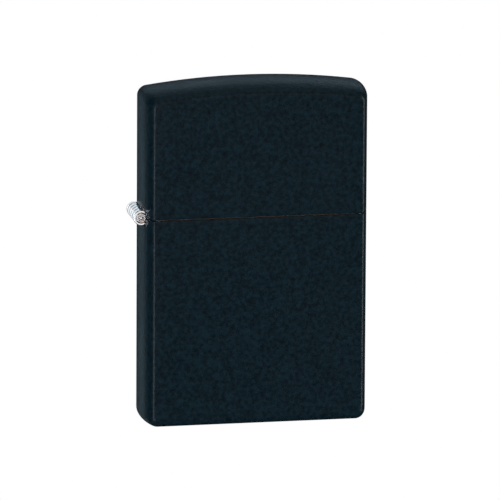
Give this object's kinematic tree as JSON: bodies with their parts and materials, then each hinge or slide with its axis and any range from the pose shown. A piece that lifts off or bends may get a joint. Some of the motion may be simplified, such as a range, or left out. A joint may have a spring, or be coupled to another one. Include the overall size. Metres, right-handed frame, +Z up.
{
  "type": "pocket lighter",
  "caption": "Slim rectangular windproof pocket lighter, closed, with a hinged lid over a lift-out insert with windscreen, wick, flint wheel and cam.",
  "frame": {"origin": "centre of the flat bottom of the case, which is the centre of base_face", "axes": "+Z up along the height, +X away from the hinge along the width, -Y is the front face"},
  "size_m": [0.0388, 0.0124, 0.0566],
  "materials": {
    "case": "fine-grained matt black powder coat",
    "case_lid": "fine-grained matt black powder coat",
    "hinge": "bright plated",
    "pin": "bright, domed ends",
    "insert": "fine brushed stainless sheet",
    "cam_steel": "tumbled steel",
    "rivets": "bright heads",
    "spring_steel": "cold-drawn spring steel",
    "wheel_steel": "hardened, cross-cut teeth",
    "flint_alloy": "dull mischmetal",
    "tube_brass": "plain brass",
    "screw_brass": "turned brass",
    "wick_cotton": "braided cotton with fine copper wires",
    "felt": "pressed wool felt",
    "rayon": "loose rayon balls"
  },
  "bodies": {
    "case": {"case_body": "case", "body_hinge_leaf": "hinge", "hinge_pin": "pin", "insert_shell": "insert", "cam_rivet": "rivets", "cam_spring": "spring_steel", "cam_spring_rivet": "rivets", "wheel_rivet": "rivets", "flint_spring": "spring_steel", "flint_tube": "tube_brass", "flint_screw": "screw_brass", "wick": "wick_cotton", "felt_pad": "felt", "rayon_ball_1": "rayon", "rayon_ball_2": "rayon", "rayon_ball_3": "rayon", "rayon_ball_4": "rayon", "rayon_ball_5": "rayon"},
    "lid": {"case_lid": "case_lid", "lid_hinge_leaf": "hinge"},
    "cam": {"cam": "cam_steel"},
    "flint_wheel": {"flint_wheel": "wheel_steel"},
    "flint": {"flint": "flint_alloy", "flint_spring_tip": "screw_brass"}
  },
  "joints": [
    {"name": "lid_hinge", "type": "hinge", "parent": "case", "child": "lid", "pos_m": [-0.0189, 0, 0.0346], "axis": [0, -1, 0], "range_deg": [0, 120]},
    {"name": "cam_pivot", "type": "hinge", "parent": "case", "child": "cam", "pos_m": [-0.01325, 0, 0.0398], "axis": [0, -1, 0], "range_deg": [0, 89]},
    {"name": "wheel_spin", "type": "hinge", "parent": "case", "child": "flint_wheel", "pos_m": [0.00985, 0, 0.0412], "axis": [0, 1, 0], "continuous": true},
    {"name": "flint_feed", "type": "slide", "parent": "case", "child": "flint", "axis": [0, 0, 1], "range_m": [-0.0025, 0], "stiffness_N_per_m": 300, "springref_m": 0.01, "deforming": ["flint_spring"]}
  ],
  "couplings": [
    {"joint": "cam_pivot", "follows": "lid_hinge", "ratio": 0.74167}
  ]
}
